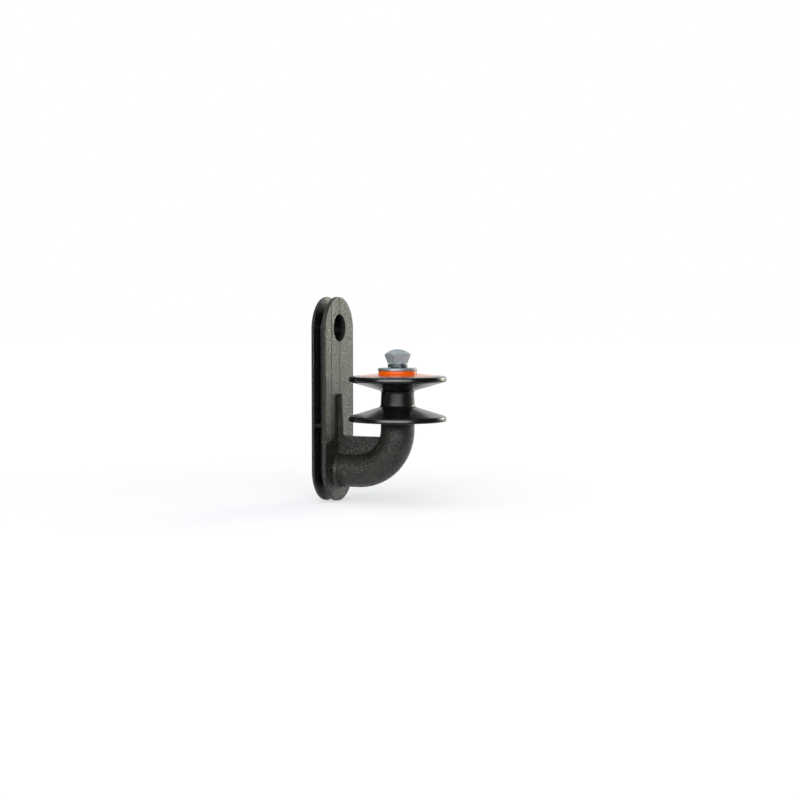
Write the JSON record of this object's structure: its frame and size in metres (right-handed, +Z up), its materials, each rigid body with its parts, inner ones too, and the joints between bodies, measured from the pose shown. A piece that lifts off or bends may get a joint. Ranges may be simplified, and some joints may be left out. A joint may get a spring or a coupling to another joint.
{
  "type": "fence insulator",
  "caption": "Corner insulator for electric fence rope: a grooved plate with rounded ends and an elbow arm that carries an upright spinning roller under a bolt.",
  "frame": {"origin": "centre of the plate's back face, which lies against the post", "axes": "+Z up along the plate and the roller's axis, +X out of the post along the arm"},
  "size_m": [0.0575, 0.044, 0.0926],
  "materials": {
    "black_textured_plastic": "spark-textured black moulding",
    "black_gloss_plastic": "polished black moulding",
    "orange_plastic": "satin orange moulding",
    "zinc_plate": "bright zinc plate",
    "spring_steel": "dark spring steel",
    "brass": "machined"
  },
  "bodies": {
    "bracket_body": {"bracket": "black_textured_plastic", "threaded_insert": "brass", "bearing_bush": "orange_plastic", "flat_washer": "zinc_plate", "spring_washer": "spring_steel", "hex_bolt": "zinc_plate"},
    "roller_body": {"roller": "black_gloss_plastic"}
  },
  "joints": [
    {"name": "roller_spin", "type": "hinge", "parent": "bracket_body", "child": "roller_body", "pos_m": [0.0355, 0, 0.0006], "axis": [0, 0, 1], "continuous": true}
  ]
}
